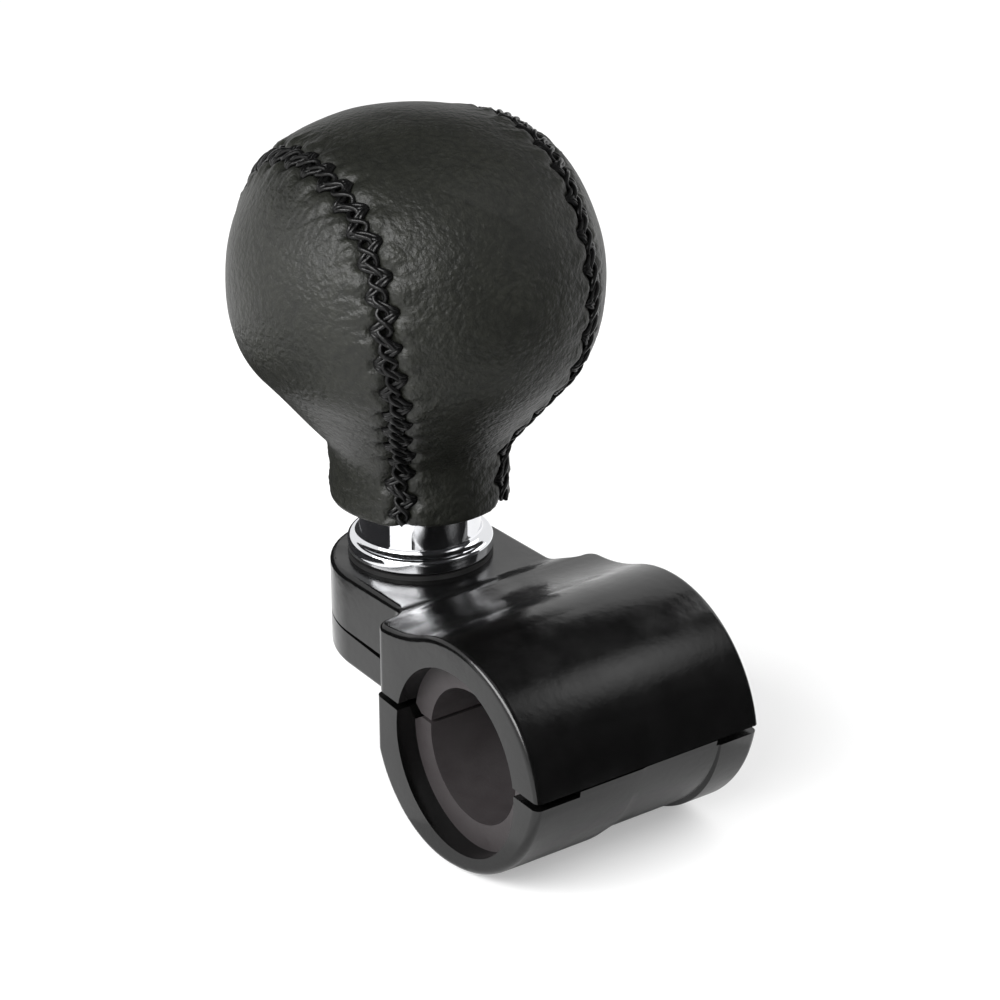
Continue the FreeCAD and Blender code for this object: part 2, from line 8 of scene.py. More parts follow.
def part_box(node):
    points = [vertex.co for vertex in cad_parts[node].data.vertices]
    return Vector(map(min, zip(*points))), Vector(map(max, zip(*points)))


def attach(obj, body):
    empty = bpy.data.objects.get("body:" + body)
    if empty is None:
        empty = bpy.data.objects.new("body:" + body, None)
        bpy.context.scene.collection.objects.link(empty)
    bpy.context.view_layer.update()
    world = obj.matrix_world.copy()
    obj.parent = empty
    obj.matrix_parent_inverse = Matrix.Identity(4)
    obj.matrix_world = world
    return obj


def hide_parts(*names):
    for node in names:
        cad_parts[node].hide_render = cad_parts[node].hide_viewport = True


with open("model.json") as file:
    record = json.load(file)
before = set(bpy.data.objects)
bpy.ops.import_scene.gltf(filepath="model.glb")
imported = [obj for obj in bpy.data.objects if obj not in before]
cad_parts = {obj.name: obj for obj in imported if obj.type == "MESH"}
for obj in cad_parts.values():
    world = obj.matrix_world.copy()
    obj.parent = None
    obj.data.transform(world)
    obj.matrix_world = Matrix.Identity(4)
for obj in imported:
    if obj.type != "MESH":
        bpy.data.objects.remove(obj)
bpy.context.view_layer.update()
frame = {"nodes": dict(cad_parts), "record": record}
mm = 0.001
scene = bpy.context.scene


# Camera, from the photograph: a long lens, a little above the knob, turned slightly off level
cameraSettings = {
    "azimuth": 53.88,  # degrees
    "elevation": 25.07,
    "roll": -0.46,
    "target": (-6.38, -7.39, 37.39),  # mm, as the lengths below
    "distance": 595.6,
    "lens": 144.0,
    "sensor": 36.0,
    "nearest": 10.0,
}


def outward(azimuth, elevation):  # unit vector: azimuth 0 looks along -Y and 90 along +X, in degrees
    azimuth, elevation = math.radians(azimuth), math.radians(elevation)
    flat = math.cos(elevation)
    return Vector((math.sin(azimuth) * flat, -math.cos(azimuth) * flat, math.sin(elevation)))


def placeCamera():
    azimuth = math.radians(cameraSettings["azimuth"])
    roll = math.radians(cameraSettings["roll"])
    back = outward(cameraSettings["azimuth"], cameraSettings["elevation"])
    levelRight = Vector((math.cos(azimuth), math.sin(azimuth), 0))
    levelUp = back.cross(levelRight)
    right = math.cos(roll) * levelRight + math.sin(roll) * levelUp
    up = math.cos(roll) * levelUp - math.sin(roll) * levelRight
    data = bpy.data.cameras.new("photoCamera")
    data.sensor_width = cameraSettings["sensor"]
    data.lens = cameraSettings["lens"]
    data.clip_start = cameraSettings["nearest"] * mm
    camera = bpy.data.objects.new("photoCamera", data)
    scene.collection.objects.link(camera)
    turn = Matrix((right, up, back)).transposed().to_4x4()
    place = Vector(cameraSettings["target"]) + back * cameraSettings["distance"]
    camera.matrix_world = Matrix.Translation(place * mm) @ turn
    scene.camera = camera


placeCamera()
print("camera placed")


# Materials
def linearColor(hexColor):
    channels = []
    for start in (1, 3, 5):
        value = int(hexColor[start:start + 2], 16) / 255
        channels.append(value / 12.92 if value <= 0.04045 else ((value + 0.055) / 1.055) ** 2.4)
    return (*channels, 1.0)


def addNode(owner, kind, settings=None, links=None):
    node = owner.node_tree.nodes.new(kind)
    for name, value in (settings or {}).items():
        if isinstance(name, str) and hasattr(node, name):
            setattr(node, name, value)
        else:
            node.inputs[name].default_value = value
    for name, socket in (links or {}).items():
        owner.node_tree.links.new(socket, node.inputs[name])
    return node


def newFinish(name, color, roughness, metallic=0.0, more=None):
    material = bpy.data.materials.new(name)
    material.use_nodes = True
    shader = material.node_tree.nodes["Principled BSDF"]
    shader.inputs["Base Color"].default_value = linearColor(color)
    shader.inputs["Roughness"].default_value = roughness
    shader.inputs["Metallic"].default_value = metallic
    for socket, value in (more or {}).items():
        shader.inputs[socket].default_value = value
    return material, shader


def roughen(material, shader, grainMm, depthMm, detail=2.0):  # fine moulded or cast surface
    place = addNode(material, "ShaderNodeTexCoord")
    grain = addNode(material, "ShaderNodeTexNoise", {"Scale": 1 / (grainMm * mm), "Detail": detail},
                    {"Vector": place.outputs["Object"]})
    bump = addNode(material, "ShaderNodeBump", {"Strength": 1.0, "Distance": depthMm * mm},
                   {"Height": grain.outputs["Fac"]})
    material.node_tree.links.new(bump.outputs["Normal"], shader.inputs["Normal"])


def unevenShine(material, shader, sizeMm, low, high):  # roughness drifts between two values
    place = addNode(material, "ShaderNodeTexCoord")
    haze = addNode(material, "ShaderNodeTexNoise", {"Scale": 1 / (sizeMm * mm), "Detail": 3.0},
                   {"Vector": place.outputs["Object"]})
    drift = addNode(material, "ShaderNodeMapRange",
                    {"From Min": 0.3, "From Max": 0.7, "To Min": low, "To Max": high},
                    {"Value": haze.outputs["Fac"]})
    material.node_tree.links.new(drift.outputs["Result"], shader.inputs["Roughness"])


def glossEnamel():  # stove enamel over a zinc casting: deep black with a slightly uneven skin
    material, shader = newFinish("glossBlackEnamel", "#060606", 0.2, more={"Specular IOR Level": 0.42})
    roughen(material, shader, 1.2, 0.026, 2.4)
    unevenShine(material, shader, 4, 0.14, 0.26)
    return material


def mouldedRubber():  # compression moulded rubber: brownish grey and dull
    material, shader = newFinish("mouldedRubber", "#2d292a", 0.58)
    roughen(material, shader, 0.5, 0.02)
    unevenShine(material, shader, 3, 0.5, 0.66)
    return material


def chromePlate():  # bright chrome over polished steel: a clear mirror, slightly cool
    material, shader = newFinish("chromePlate", "#e2e3e6", 0.055, 1.0)
    unevenShine(material, shader, 6, 0.045, 0.07)
    return material


def innerFinish(name, color, roughness, metallic=0.0):  # small inner pieces: fine grain, uneven shine
    material, shader = newFinish(name, color, roughness, metallic)
    roughen(material, shader, 0.4, 0.01)
    unevenShine(material, shader, 2, 0.8 * roughness, 1.25 * roughness)
    return material


def grainedLeather():  # drum dyed cowhide: pebbled grain with painted shade in its hollows, dark warm grey with a soft sheen
    material, shader = newFinish("grainedLeather", "#24231f", 0.45, more={"Specular IOR Level": 0.33})
    place = addNode(material, "ShaderNodeTexCoord")
    warp = addNode(material, "ShaderNodeTexNoise", {"Scale": 1 / (2.6 * mm), "Detail": 2.0},
                   {"Vector": place.outputs["Object"]})
    drift = addNode(material, "ShaderNodeVectorMath", {"operation": "MULTIPLY_ADD", 1: (1.6 * mm,) * 3},
                    {0: warp.outputs["Color"], 2: place.outputs["Object"]})
    pebble = addNode(material, "ShaderNodeTexVoronoi", {"feature": "SMOOTH_F1", "Scale": 1 / (1.0 * mm)},
                     {"Vector": drift.outputs["Vector"]})
    fine = addNode(material, "ShaderNodeTexNoise", {"Scale": 1 / (0.5 * mm), "Detail": 3.0},
                   {"Vector": place.outputs["Object"]})
    height = addNode(material, "ShaderNodeMath", {"operation": "MULTIPLY_ADD", 1: -1.2},
                     {0: pebble.outputs["Distance"], 2: fine.outputs["Fac"]})
    bump = addNode(material, "ShaderNodeBump", {"Strength": 1.0, "Distance": 0.14 * mm},
                   {"Height": height.outputs["Value"]})
    dye = addNode(material, "ShaderNodeTexNoise", {"Scale": 1 / (9 * mm), "Detail": 4.0},
                  {"Vector": place.outputs["Object"]})
    tone = addNode(material, "ShaderNodeMix",
                   {"data_type": "RGBA", 6: linearColor("#121310"), 7: linearColor("#272822")},
                   {0: dye.outputs["Fac"]})
    # painted shade: the base colour is mixed darker in the grain's hollows, where the bump is low
    paintedHollowShade = addNode(material, "ShaderNodeMix", {"data_type": "RGBA", 7: linearColor("#10110e")},
                      {0: pebble.outputs["Distance"], 6: tone.outputs[2]})
    material.node_tree.links.new(paintedHollowShade.outputs[2], shader.inputs["Base Color"])
    material.node_tree.links.new(bump.outputs["Normal"], shader.inputs["Normal"])
    return material


def waxedThread():  # heavy waxed polyester: near black, with a shine on the top of each turn
    material, shader = newFinish("waxedThread", "#060606", 0.3, more={"Specular IOR Level": 0.27})
    roughen(material, shader, 0.35, 0.05)
    return material


finishes = {
    "casting_black": glossEnamel(),
    "liner_rubber": mouldedRubber(),
    "chrome": chromePlate(),
    "washer_black": innerFinish("mouldedNylon", "#1b1b1b", 0.5),  # satin black
    "screw_steel": innerFinish("blackOxideSteel", "#2b2b2d", 0.35, 0.9),  # dark with a metal shine
    "plain_steel": innerFinish("groundSteel", "#b9babd", 0.25, 1.0),  # bright and finely ground
    "cage_nylon": innerFinish("naturalNylon", "#d8d2bf", 0.45),  # cream and a little waxy
    "core_plastic": innerFinish("mouldedCore", "#161616", 0.6),  # dull black
    "leather": grainedLeather(),
    "thread": waxedThread(),
}
slotOf = {entry["node"]: entry["material_slot"] for entry in frame["record"]["subparts"]}
bodyOf = {node: body for body, nodes in frame["record"]["behaviour"]["bodies"].items() for node in nodes}
print("materials ready")


def finishPiece(piece, node):  # a new piece that stands for one CAD node
    slot = slotOf[node]
    piece.data.materials.clear()
    piece.data.materials.append(finishes[slot])
    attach(piece, bodyOf[node])
    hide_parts(node)


def meshPiece(name, bm):
    mesh = bpy.data.meshes.new(name)
    bm.to_mesh(mesh)
    bm.free()
    piece = bpy.data.objects.new(name, mesh)
    scene.collection.objects.link(piece)
    return piece


spindleLow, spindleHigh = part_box("spindle")
spindleX = (spindleLow.x + spindleHigh.x) / 2 / mm


# Castings, liners and turned parts: the CAD shape with its triangles joined and its curves smooth
smoothCopies = {
    "creaseAngle": 32.0,  # degrees
    "jointSize": 0.002,  # mm, corners closer than this are one corner
}


def shadeSmooth(bm):  # smooth over curves, sharp at corners
    crease = math.radians(smoothCopies["creaseAngle"])
    for face in bm.faces:
        face.smooth = True
    for edge in bm.edges:
        edge.smooth = edge.is_manifold and edge.calc_face_angle(0) < crease


def smoothCopy(node):
    bm = bmesh.new()
    bm.from_mesh(frame["nodes"][node].data)
    bmesh.ops.remove_doubles(bm, verts=bm.verts, dist=smoothCopies["jointSize"] * mm)
    shadeSmooth(bm)
    finishPiece(meshPiece(node + "_finished", bm), node)


remadeNodes = (  # modelled anew below
    "chrome_sleeve",
    "leather_centre_panel",
    "leather_left_panel",
    "leather_right_panel",
    "left_seam_lacing",
    "right_seam_lacing",
)
for node in frame["nodes"]:
    if node not in remadeNodes:
        smoothCopy(node)
print("castings and turned parts finished")


# Chrome neck: one turning, a flange that sweeps up into the tube, polished all over
neckShape = {
    "flangeRadius": 11.5,  # mm
    "flangeHeight": 2.3,
    "flangeEdge": 0.7,
    "lowerEdge": 0.3,
    "sweepRadius": 1.2,
    "tubeRadius": 9.6,
    "boreRadius": 8.0,
    "lipRadius": 6.6,
    "lipHeight": 1.3,
    "segments": 192,
    "arcSteps": 8,
}


def arcPoints(centreX, centreZ, radius, startAngle, endAngle):
    steps = neckShape["arcSteps"]
    turn = (endAngle - startAngle) / steps
    angles = [math.radians(startAngle + turn * step) for step in range(steps + 1)]
    return [(centreX + radius * math.cos(angle), centreZ + radius * math.sin(angle)) for angle in angles]


def chromeNeck():
    shape = neckShape
    low, high = (corner.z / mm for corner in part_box("chrome_sleeve"))
    rim, top = shape["flangeRadius"], low + shape["flangeHeight"]
    edge, lower, sweep = shape["flangeEdge"], shape["lowerEdge"], shape["sweepRadius"]
    profile = [(shape["lipRadius"], low)]
    profile += arcPoints(rim - lower, low + lower, lower, -90, 0)
    profile += arcPoints(rim - edge, top - edge, edge, 0, 90)
    profile += arcPoints(shape["tubeRadius"] + sweep, top + sweep, sweep, 270, 180)
    lipTop = low + shape["lipHeight"]
    profile += [(shape["tubeRadius"], high), (shape["boreRadius"], high)]
    profile += [(shape["boreRadius"], lipTop), (shape["lipRadius"], lipTop)]
    bm = bmesh.new()
    corners = [bm.verts.new(((spindleX + x) * mm, 0, z * mm)) for x, z in profile]
    edges = [bm.edges.new((corners[index - 1], corners[index])) for index in range(len(corners))]
    bmesh.ops.spin(bm, geom=corners + edges, cent=(spindleX * mm, 0, 0), axis=(0, 0, 1), angle=2 * math.pi,
                   steps=shape["segments"], use_merge=True)
    bmesh.ops.remove_doubles(bm, verts=bm.verts, dist=smoothCopies["jointSize"] * mm)
    bmesh.ops.recalc_face_normals(bm, faces=bm.faces)
    shadeSmooth(bm)
    finishPiece(meshPiece("chrome_neck", bm), "chrome_sleeve")


chromeNeck()
print("chrome neck turned")


# Knob under its leather: the same profile as the core, in mm from the ball's centre
knobShape = {
    "ballRadius": 29.2,
    "shoulderRadius": 17.2,
    "shoulderLatitude": 32.5,
    "topHeight": 25.4,
    "lowerRadius": 13.9,
    "lowerLatitude": 15.3,
    "coneLatitude": 40.4,
    "neckRadius": 14.0,
    "neckArc": 7.6,
    "neckBottom": -36.2,
    "leatherThickness": 1.4,
    "coverTurn": -6.0,  # degrees about the spindle
}
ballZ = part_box("leather_centre_panel")[1].z / mm - knobShape["topHeight"]


def onKnob(point):  # from mm about the ball's centre to the knob's place
    turn = Matrix.Rotation(math.radians(knobShape["coverTurn"]), 3, "Z")
    return (turn @ point + Vector((spindleX, 0, ballZ))) * mm


def direction(degrees):
    angle = math.radians(degrees)
    return Vector((math.cos(angle), math.sin(angle)))


def profileArcs():  # lowest height, centre and radius of each arc from the top down, then cone and neck
    shape = knobShape
    shoulder = direction(shape["shoulderLatitude"]) * (shape["ballRadius"] - shape["shoulderRadius"])
    lower = direction(-shape["lowerLatitude"]) * (shape["ballRadius"] - shape["lowerRadius"])
    drop = shoulder.y - shape["topHeight"]
    spare = shape["shoulderRadius"] ** 2 - shoulder.x ** 2 - drop ** 2
    crownRadius = spare / 2 / (drop + shape["shoulderRadius"])
    crown = Vector((0, shape["topHeight"] - crownRadius))
    cone = direction(-shape["coneLatitude"])
    coneStart = lower + cone * shape["lowerRadius"]
    neckX = shape["neckRadius"] + shape["neckArc"]
    neckReach = lower.dot(cone) + shape["lowerRadius"] + shape["neckArc"]
    neck = Vector((neckX, (neckReach - neckX * cone.x) / cone.y))
    coneEnd = neck - cone * shape["neckArc"]
    crownEnd = crown + (shoulder - crown).normalized() * crownRadius
    shoulderEnd = direction(shape["shoulderLatitude"]) * shape["ballRadius"]
    ballEnd = direction(-shape["lowerLatitude"]) * shape["ballRadius"]
    return [
        (crownEnd.y, crown, crownRadius),
        (shoulderEnd.y, shoulder, shape["shoulderRadius"]),
        (ballEnd.y, Vector((0, 0)), shape["ballRadius"]),
        (coneStart.y, lower, shape["lowerRadius"]),
    ], coneStart, coneEnd, neck


arcs, coneStart, coneEnd, neckCentre = profileArcs()


def profileRadius(z):
    for low, centre, radius in arcs:
        if z >= low:
            return centre.x + math.sqrt(max(radius ** 2 - (z - centre.y) ** 2, 0.0))
    if z >= coneEnd.y:
        share = (coneStart.y - z) / (coneStart.y - coneEnd.y)
        return coneStart.x + (coneEnd.x - coneStart.x) * share
    if z >= neckCentre.y:
        return neckCentre.x - math.sqrt(knobShape["neckArc"] ** 2 - (z - neckCentre.y) ** 2)
    return knobShape["neckRadius"]


def profileNormal(z):
    for low, centre, radius in arcs:
        if z >= low:
            return (Vector((profileRadius(z), z)) - centre).normalized()
    if z >= coneEnd.y:
        return direction(-knobShape["coneLatitude"])
    if z >= neckCentre.y:
        return (neckCentre - Vector((profileRadius(z), z))).normalized()
    return Vector((1, 0))


# Seams: the strip of leather runs over the top, and two side panels are laced to it
seamShape = {
    "halfWidth": 17.9,  # mm, over the ball
    "middleHalfWidth": 13.39,
    "middleDrop": 17.0,
    "lowHalfWidth": 9.6,
    "lowDrop": 24.49,
    "neckHalfWidth": 8.8,
    "gap": 0.12,
    "valleyDepth": 1.35,
    "valleyWidth": 2.9,
    "stitchPitch": 5.3,
    "holeDistance": 2.2,
}


def circleThrough(a, b, c):
    mid1, mid2 = (a + b) / 2, (b + c) / 2
    way1, way2 = b - a, c - b
    scale = way1.x * way2.y - way1.y * way2.x
    first, second = way1.dot(mid1), way2.dot(mid2)
    x = (first * way2.y - second * way1.y) / scale
    y = (way1.x * second - way2.x * first) / scale
    centre = Vector((x, y))
    return centre, (a - centre).length


seamArcCentre, seamArcRadius = circleThrough(
    Vector((seamShape["halfWidth"], 0)),
    Vector((seamShape["middleHalfWidth"], -seamShape["middleDrop"])),
    Vector((seamShape["lowHalfWidth"], -seamShape["lowDrop"])),
)


def seamHalfWidth(z):
    if z >= 0:
        return seamShape["halfWidth"]
    if z >= -seamShape["lowDrop"]:
        return seamArcCentre.x + math.sqrt(seamArcRadius ** 2 - (z - seamArcCentre.y) ** 2)
    share = (z + seamShape["lowDrop"]) / (knobShape["neckBottom"] + seamShape["lowDrop"])
    return seamShape["lowHalfWidth"] + (seamShape["neckHalfWidth"] - seamShape["lowHalfWidth"]) * share


halvings = 40  # of the span in which the surface is looked for


def domePoint(angle, y):  # point of the upper half at this angle round the strip, y mm beside its middle
    low, high = 0.0, knobShape["ballRadius"] * 1.01
    for halving in range(halvings):
        reach = (low + high) / 2
        z = reach * math.sin(angle)
        inside = z < knobShape["topHeight"] and math.hypot(reach * math.cos(angle), y) < profileRadius(z)
        if inside:
            low = reach
        else:
            high = reach
    return Vector((low * math.cos(angle), y, low * math.sin(angle)))


# Rolled lower edge of the neck
lipRadius = knobShape["leatherThickness"] / 2
lipTurn = math.pi * lipRadius
lipRun = 3.0  # mm of leather seen inside the neck
lipLength = lipTurn + lipRun


def lipOffset(run):  # how far in and how high above the bottom
    if run < lipTurn:
        angle = run / lipRadius
        return lipRadius * (1 - math.cos(angle)), lipRadius * (1 - math.sin(angle))
    return 2 * lipRadius, lipRadius + run - lipTurn


bottomHeight = knobShape["neckBottom"] + lipRadius
lowerRun = -bottomHeight
domeRun = math.pi * (knobShape["ballRadius"] + knobShape["topHeight"]) / 2
wholeRun = 2 * (lipLength + lowerRun) + domeRun


def stripRow(run):  # part of the knob that a row crosses, front or back, offset inwards, and height or angle
    back = run > wholeRun / 2
    distance = wholeRun - run if back else run
    if distance < lipLength:
        inward, above = lipOffset(lipLength - distance)
        return "low", -1 if back else 1, inward, knobShape["neckBottom"] + above
    if distance < lipLength + lowerRun:
        return "low", -1 if back else 1, 0.0, bottomHeight + distance - lipLength
    return "dome", 1, 0.0, (run - lipLength - lowerRun) / domeRun * math.pi


def stripPoint(run, share):
    kind, sign, inward, value = stripRow(run)
    if kind == "dome":
        return domePoint(value, share * seamShape["halfWidth"])
    height = max(value, bottomHeight)
    radius = profileRadius(height) - inward
    half = seamHalfWidth(height) * radius / profileRadius(height)
    y = share * half
    return Vector((sign * math.sqrt(radius ** 2 - y ** 2), y, value))


def sidePoint(run, share, side):  # share 0 at the seam, 1 on the panel's spine
    kind, sign, inward, value = stripRow(run)
    if kind == "dome":
        seam = domePoint(value, side * seamShape["halfWidth"])
        seamWay = seam.normalized()
        spineWay = Vector((0, side, 0))
        way = seamWay.slerp(spineWay, share)
        latitude = math.asin(max(min(way.z, 1.0), -1.0))
        return way * domePoint(latitude, 0).length
    height = max(value, bottomHeight)
    radius = profileRadius(height) - inward
    start = math.asin(seamHalfWidth(height) / profileRadius(height))
    azimuth = start + (math.pi / 2 - start) * share
    return Vector((sign * radius * math.cos(azimuth), side * radius * math.sin(azimuth), value))


nearTop = 0.01  # mm from the pole, where the surface faces straight up


def surfaceNormal(point):
    flat = math.hypot(point.x, point.y)
    if point.z > knobShape["topHeight"] - nearTop or flat < nearTop:
        return Vector((0, 0, 1))
    tilt = profileNormal(point.z)
    return Vector((tilt.x * point.x / flat, tilt.x * point.y / flat, tilt.y))


seamSamples = 3000


def seamPath(side):  # points along a seam, less than 0.1 mm apart, with the length run at each
    points = [stripPoint(wholeRun * (index + 0.5) / seamSamples, side) for index in range(seamSamples)]
    tree = kdtree.KDTree(seamSamples)
    lengths = [0.0]
    for index, point in enumerate(points):
        tree.insert(point, index)
        if index:
            lengths.append(lengths[-1] + (point - points[index - 1]).length)
    tree.balance()
    return {"points": points, "lengths": lengths, "tree": tree}


seams = {side: seamPath(side) for side in (-1, 1)}
stitchCount = {side: round(seams[side]["lengths"][-1] / seamShape["stitchPitch"]) for side in seams}
print("seams measured:", {side: round(path["lengths"][-1], 1) for side, path in seams.items()})


# Leather surface close to a seam: it rolls down into the valley, is pulled in at each hole,
# puffs up between the holes and creases away from them
puckers = {
    "reach": 14.0,  # mm from the seam, past which the leather is smooth
    "holeDepth": 0.6,
    "holeWidth": 0.8,
    "puff": 0.36,
    "puffOffset": 0.3,
    "puffReach": 2.1,
    "creaseDepth": 0.08,
    "creaseReach": 4.0,
    "creaseWander": 4.0,  # radians
    "wanderGrain": 0.35,  # for each mm
    "waviness": 0.16,  # mm, over the whole cover
    "waveGrain": 0.11,  # for each mm
}


def holePhase(panelSide):  # the holes of the two edges alternate
    return 0.25 if panelSide > 0 else 0.75


def seamRelief(point, side, outer):
    path = seams[side]
    nearest, index, distance = path["tree"].find(point)
    if distance > puckers["reach"]:
        return 0.0
    total = path["lengths"][-1]
    pitch = total / stitchCount[side]
    phase = (path["lengths"][index] / pitch - holePhase(1 if outer else -1)) % 1.0
    toHole = min(phase, 1 - phase) * pitch
    shape = seamShape
    valley = max(0.0, 1 - distance / shape["valleyWidth"])
    height = -shape["valleyDepth"] * valley ** 2
    pastHole = distance - shape["holeDistance"]
    hole = (toHole / puckers["holeWidth"]) ** 2 + (pastHole / puckers["holeWidth"]) ** 2
    height -= puckers["holeDepth"] * math.exp(-hole)
    between = math.sin(math.pi * phase) ** 2
    puffPlace = (pastHole - puckers["puffOffset"]) / puckers["puffReach"]
    height += puckers["puff"] * between * math.exp(-puffPlace ** 2)
    creasePlace = max(0.0, pastHole) / puckers["creaseReach"]
    wander = noise.noise(point * puckers["wanderGrain"]) * puckers["creaseWander"]
    crease = math.cos(4 * math.pi * phase + wander) + 0.6 * math.cos(8 * math.pi * phase - 2 * wander)
    height += puckers["creaseDepth"] * crease * math.exp(-creasePlace ** 2) * (1 - valley)
    return height


def leatherPoint(point, normal, touching):
    height = sum(seamRelief(point, side, outer) for side, outer in touching)
    height += puckers["waviness"] * noise.noise(point * puckers["waveGrain"])
    return onKnob(point + normal * height)


panelMesh = {
    "rowSize": 0.42,  # mm along a seam
    "edgeSize": 0.38,  # mm across, beside a seam
    "edgeBand": 8.0,
    "innerColumns": 14,
    "sideWidth": 29.0,  # mm from a seam to the spine of a side panel
    "jointSize": 0.005,
}


def edgeShares(width):  # columns from a seam to the middle: close together at first, then wider
    band = panelMesh["edgeBand"]
    count = int(band / panelMesh["edgeSize"])
    shares = [index * panelMesh["edgeSize"] / width for index in range(count)]
    start = count * panelMesh["edgeSize"] / width
    inner = panelMesh["innerColumns"]
    return shares + [start + (1 - start) * index / inner for index in range(inner + 1)]


def panelGrid(name, node, columns, placeVertex):
    rows = int(wholeRun / panelMesh["rowSize"])
    bm = bmesh.new()
    bmesh.ops.create_grid(bm, x_segments=len(columns) - 1, y_segments=rows, size=0.5)
    for vertex in bm.verts:
        column = columns[round((vertex.co.x + 0.5) * (len(columns) - 1))]
        vertex.co = placeVertex((vertex.co.y + 0.5) * wholeRun, column)
    bmesh.ops.remove_doubles(bm, verts=bm.verts, dist=panelMesh["jointSize"] * mm)
    bm.normal_update()
    centre = Vector((spindleX, 0, ballZ)) * mm  # an open panel faces away from the ball's centre
    votes = sum(1 if face.normal.dot(face.calc_center_median() - centre) > 0 else -1 for face in bm.faces)
    if votes < 0:
        bmesh.ops.reverse_faces(bm, faces=bm.faces)
    for face in bm.faces:
        face.smooth = True
    finishPiece(meshPiece(name, bm), node)


def centrePanel():
    half = edgeShares(seamShape["halfWidth"])
    gap = seamShape["gap"] / seamShape["halfWidth"]
    columns = [share * (1 - gap) - 1 + gap for share in half]
    columns += [-share for share in reversed(columns[:-1])]

    def placeVertex(run, column):
        point = stripPoint(run, column)
        return leatherPoint(point, surfaceNormal(point), ((-1, False), (1, False)))

    panelGrid("leather_centre_strip", "leather_centre_panel", columns, placeVertex)


def sidePanel(side, name, node):
    width = panelMesh["sideWidth"]
    gap = seamShape["gap"] / width
    columns = [gap + share * (1 - gap) for share in edgeShares(width)]

    def placeVertex(run, column):
        point = sidePoint(run, column, side)
        return leatherPoint(point, surfaceNormal(point), ((side, True),))

    panelGrid(name, node, columns, placeVertex)


centrePanel()
sidePanel(-1, "leather_left_side", "leather_left_panel")
sidePanel(1, "leather_right_side", "leather_right_panel")
print("leather panels laid")


# Lacing: a waxed thread, laid double, zigzags through the holes of both edges over a twisted pair
lacingShape = {
    "threadRadius": 0.41,  # mm
    "threadSpread": 0.48,
    "spreadAtHoles": 0.3,  # share of the spread that is left where the thread goes in
    "unevenness": 0.62,  # mm, hand made stitches wander
    "braidReach": 1.0,
    "braidLift": 0.36,
    "braidSteps": 8,  # for each stitch
}
crossing = (  # share of the way over the seam, and height in mm
    (0.0, -1.0),
    (0.04, -0.2),
    (0.22, 0.08),
    (0.5, -0.25),
    (0.78, 0.08),
    (0.96, -0.2),
    (1.0, -1.0),
)


def seamFrame(side, length):
    path = seams[side]
    lengths, points = path["lengths"], path["points"]
    index = min(max(int(length / lengths[-1] * (len(points) - 1)), 2), len(points) - 3)
    while index < len(points) - 3 and lengths[index] < length:
        index += 1
    while index > 2 and lengths[index] > length:
        index -= 1
    along = (points[index + 2] - points[index - 2]).normalized()
    normal = surfaceNormal(points[index])
    across = along.cross(normal).normalized()
    if across.y * side < 0:
        across = -across
    return points[index], across, normal


def threadPoint(side, length, offset, rise):
    point, across, normal = seamFrame(side, length)
    sink = offset ** 2 / 2 / knobShape["ballRadius"]
    return onKnob(point + across * offset + normal * (rise - sink))


def layThread(curve, places):
    spline = curve.splines.new("NURBS")
    spline.points.add(len(places) - 1)
    for point, place in zip(spline.points, places):
        point.co = (*place, 1.0)
    spline.order_u = 3
    spline.use_endpoint_u = True


def braid(curve, side, start, end, pitch):  # two strands that wind round each other along the seam
    shape = lacingShape
    steps = int((end - start) / pitch * shape["braidSteps"])
    for strand in (0, 1):
        places = []
        for index in range(steps + 1):
            length = start + (end - start) * index / steps
            turn = 2 * math.pi * (length / pitch + strand / 2)
            wander = shape["unevenness"] * noise.noise(Vector((length * 0.6, side * 3.3, strand * 9.0)))
            offset = shape["braidReach"] * math.sin(turn) + wander
            places.append(threadPoint(side, length, offset, shape["braidLift"] * math.cos(turn)))
        layThread(curve, places)


def crossings(curve, side, first, last, pitch):  # from hole to hole over the seam, to and fro
    shape = lacingShape
    ends = shape["spreadAtHoles"]
    for index in range(2 * stitchCount[side]):
        wander = shape["unevenness"] * noise.noise(Vector((index * 0.73, side * 7.1, 0.4)))
        slip = shape["unevenness"] * noise.noise(Vector((index * 0.91, side * 5.3, 6.2)))
        startSide = 1 if index % 2 == 0 else -1
        start = (index // 2 + holePhase(startSide)) * pitch
        if start < first or start + pitch / 2 > last:
            continue
        for strand in (-1, 1):
            places = []
            for share, rise in crossing:
                middle = math.sin(math.pi * share)
                offset = startSide * seamShape["holeDistance"] * (1 - 2 * share) + wander * middle
                spread = strand * shape["threadSpread"] * (ends + (1 - ends) * middle) + slip * middle
                places.append(threadPoint(side, start + pitch / 2 * share + spread, offset, rise))
            layThread(curve, places)


def lacing(side, name, node):
    curve = bpy.data.curves.new(name, "CURVE")
    curve.dimensions = "3D"
    curve.bevel_depth = lacingShape["threadRadius"] * mm
    curve.bevel_resolution = 2
    curve.resolution_u = 3
    curve.use_fill_caps = True
    total = seams[side]["lengths"][-1]
    pitch = total / stitchCount[side]
    crossings(curve, side, lipLength, total - lipLength, pitch)
    braid(curve, side, lipLength, total - lipLength, pitch)
    holder = bpy.data.objects.new(name + "_line", curve)
    scene.collection.objects.link(holder)
    bpy.context.view_layer.update()
    mesh = bpy.data.meshes.new_from_object(holder)
    bpy.data.objects.remove(holder)
    for polygon in mesh.polygons:
        polygon.use_smooth = True
    piece = bpy.data.objects.new(name, mesh)
    scene.collection.objects.link(piece)
    finishPiece(piece, node)


lacing(-1, "left_lacing", "left_seam_lacing")
lacing(1, "right_lacing", "right_seam_lacing")
print("seams laced")


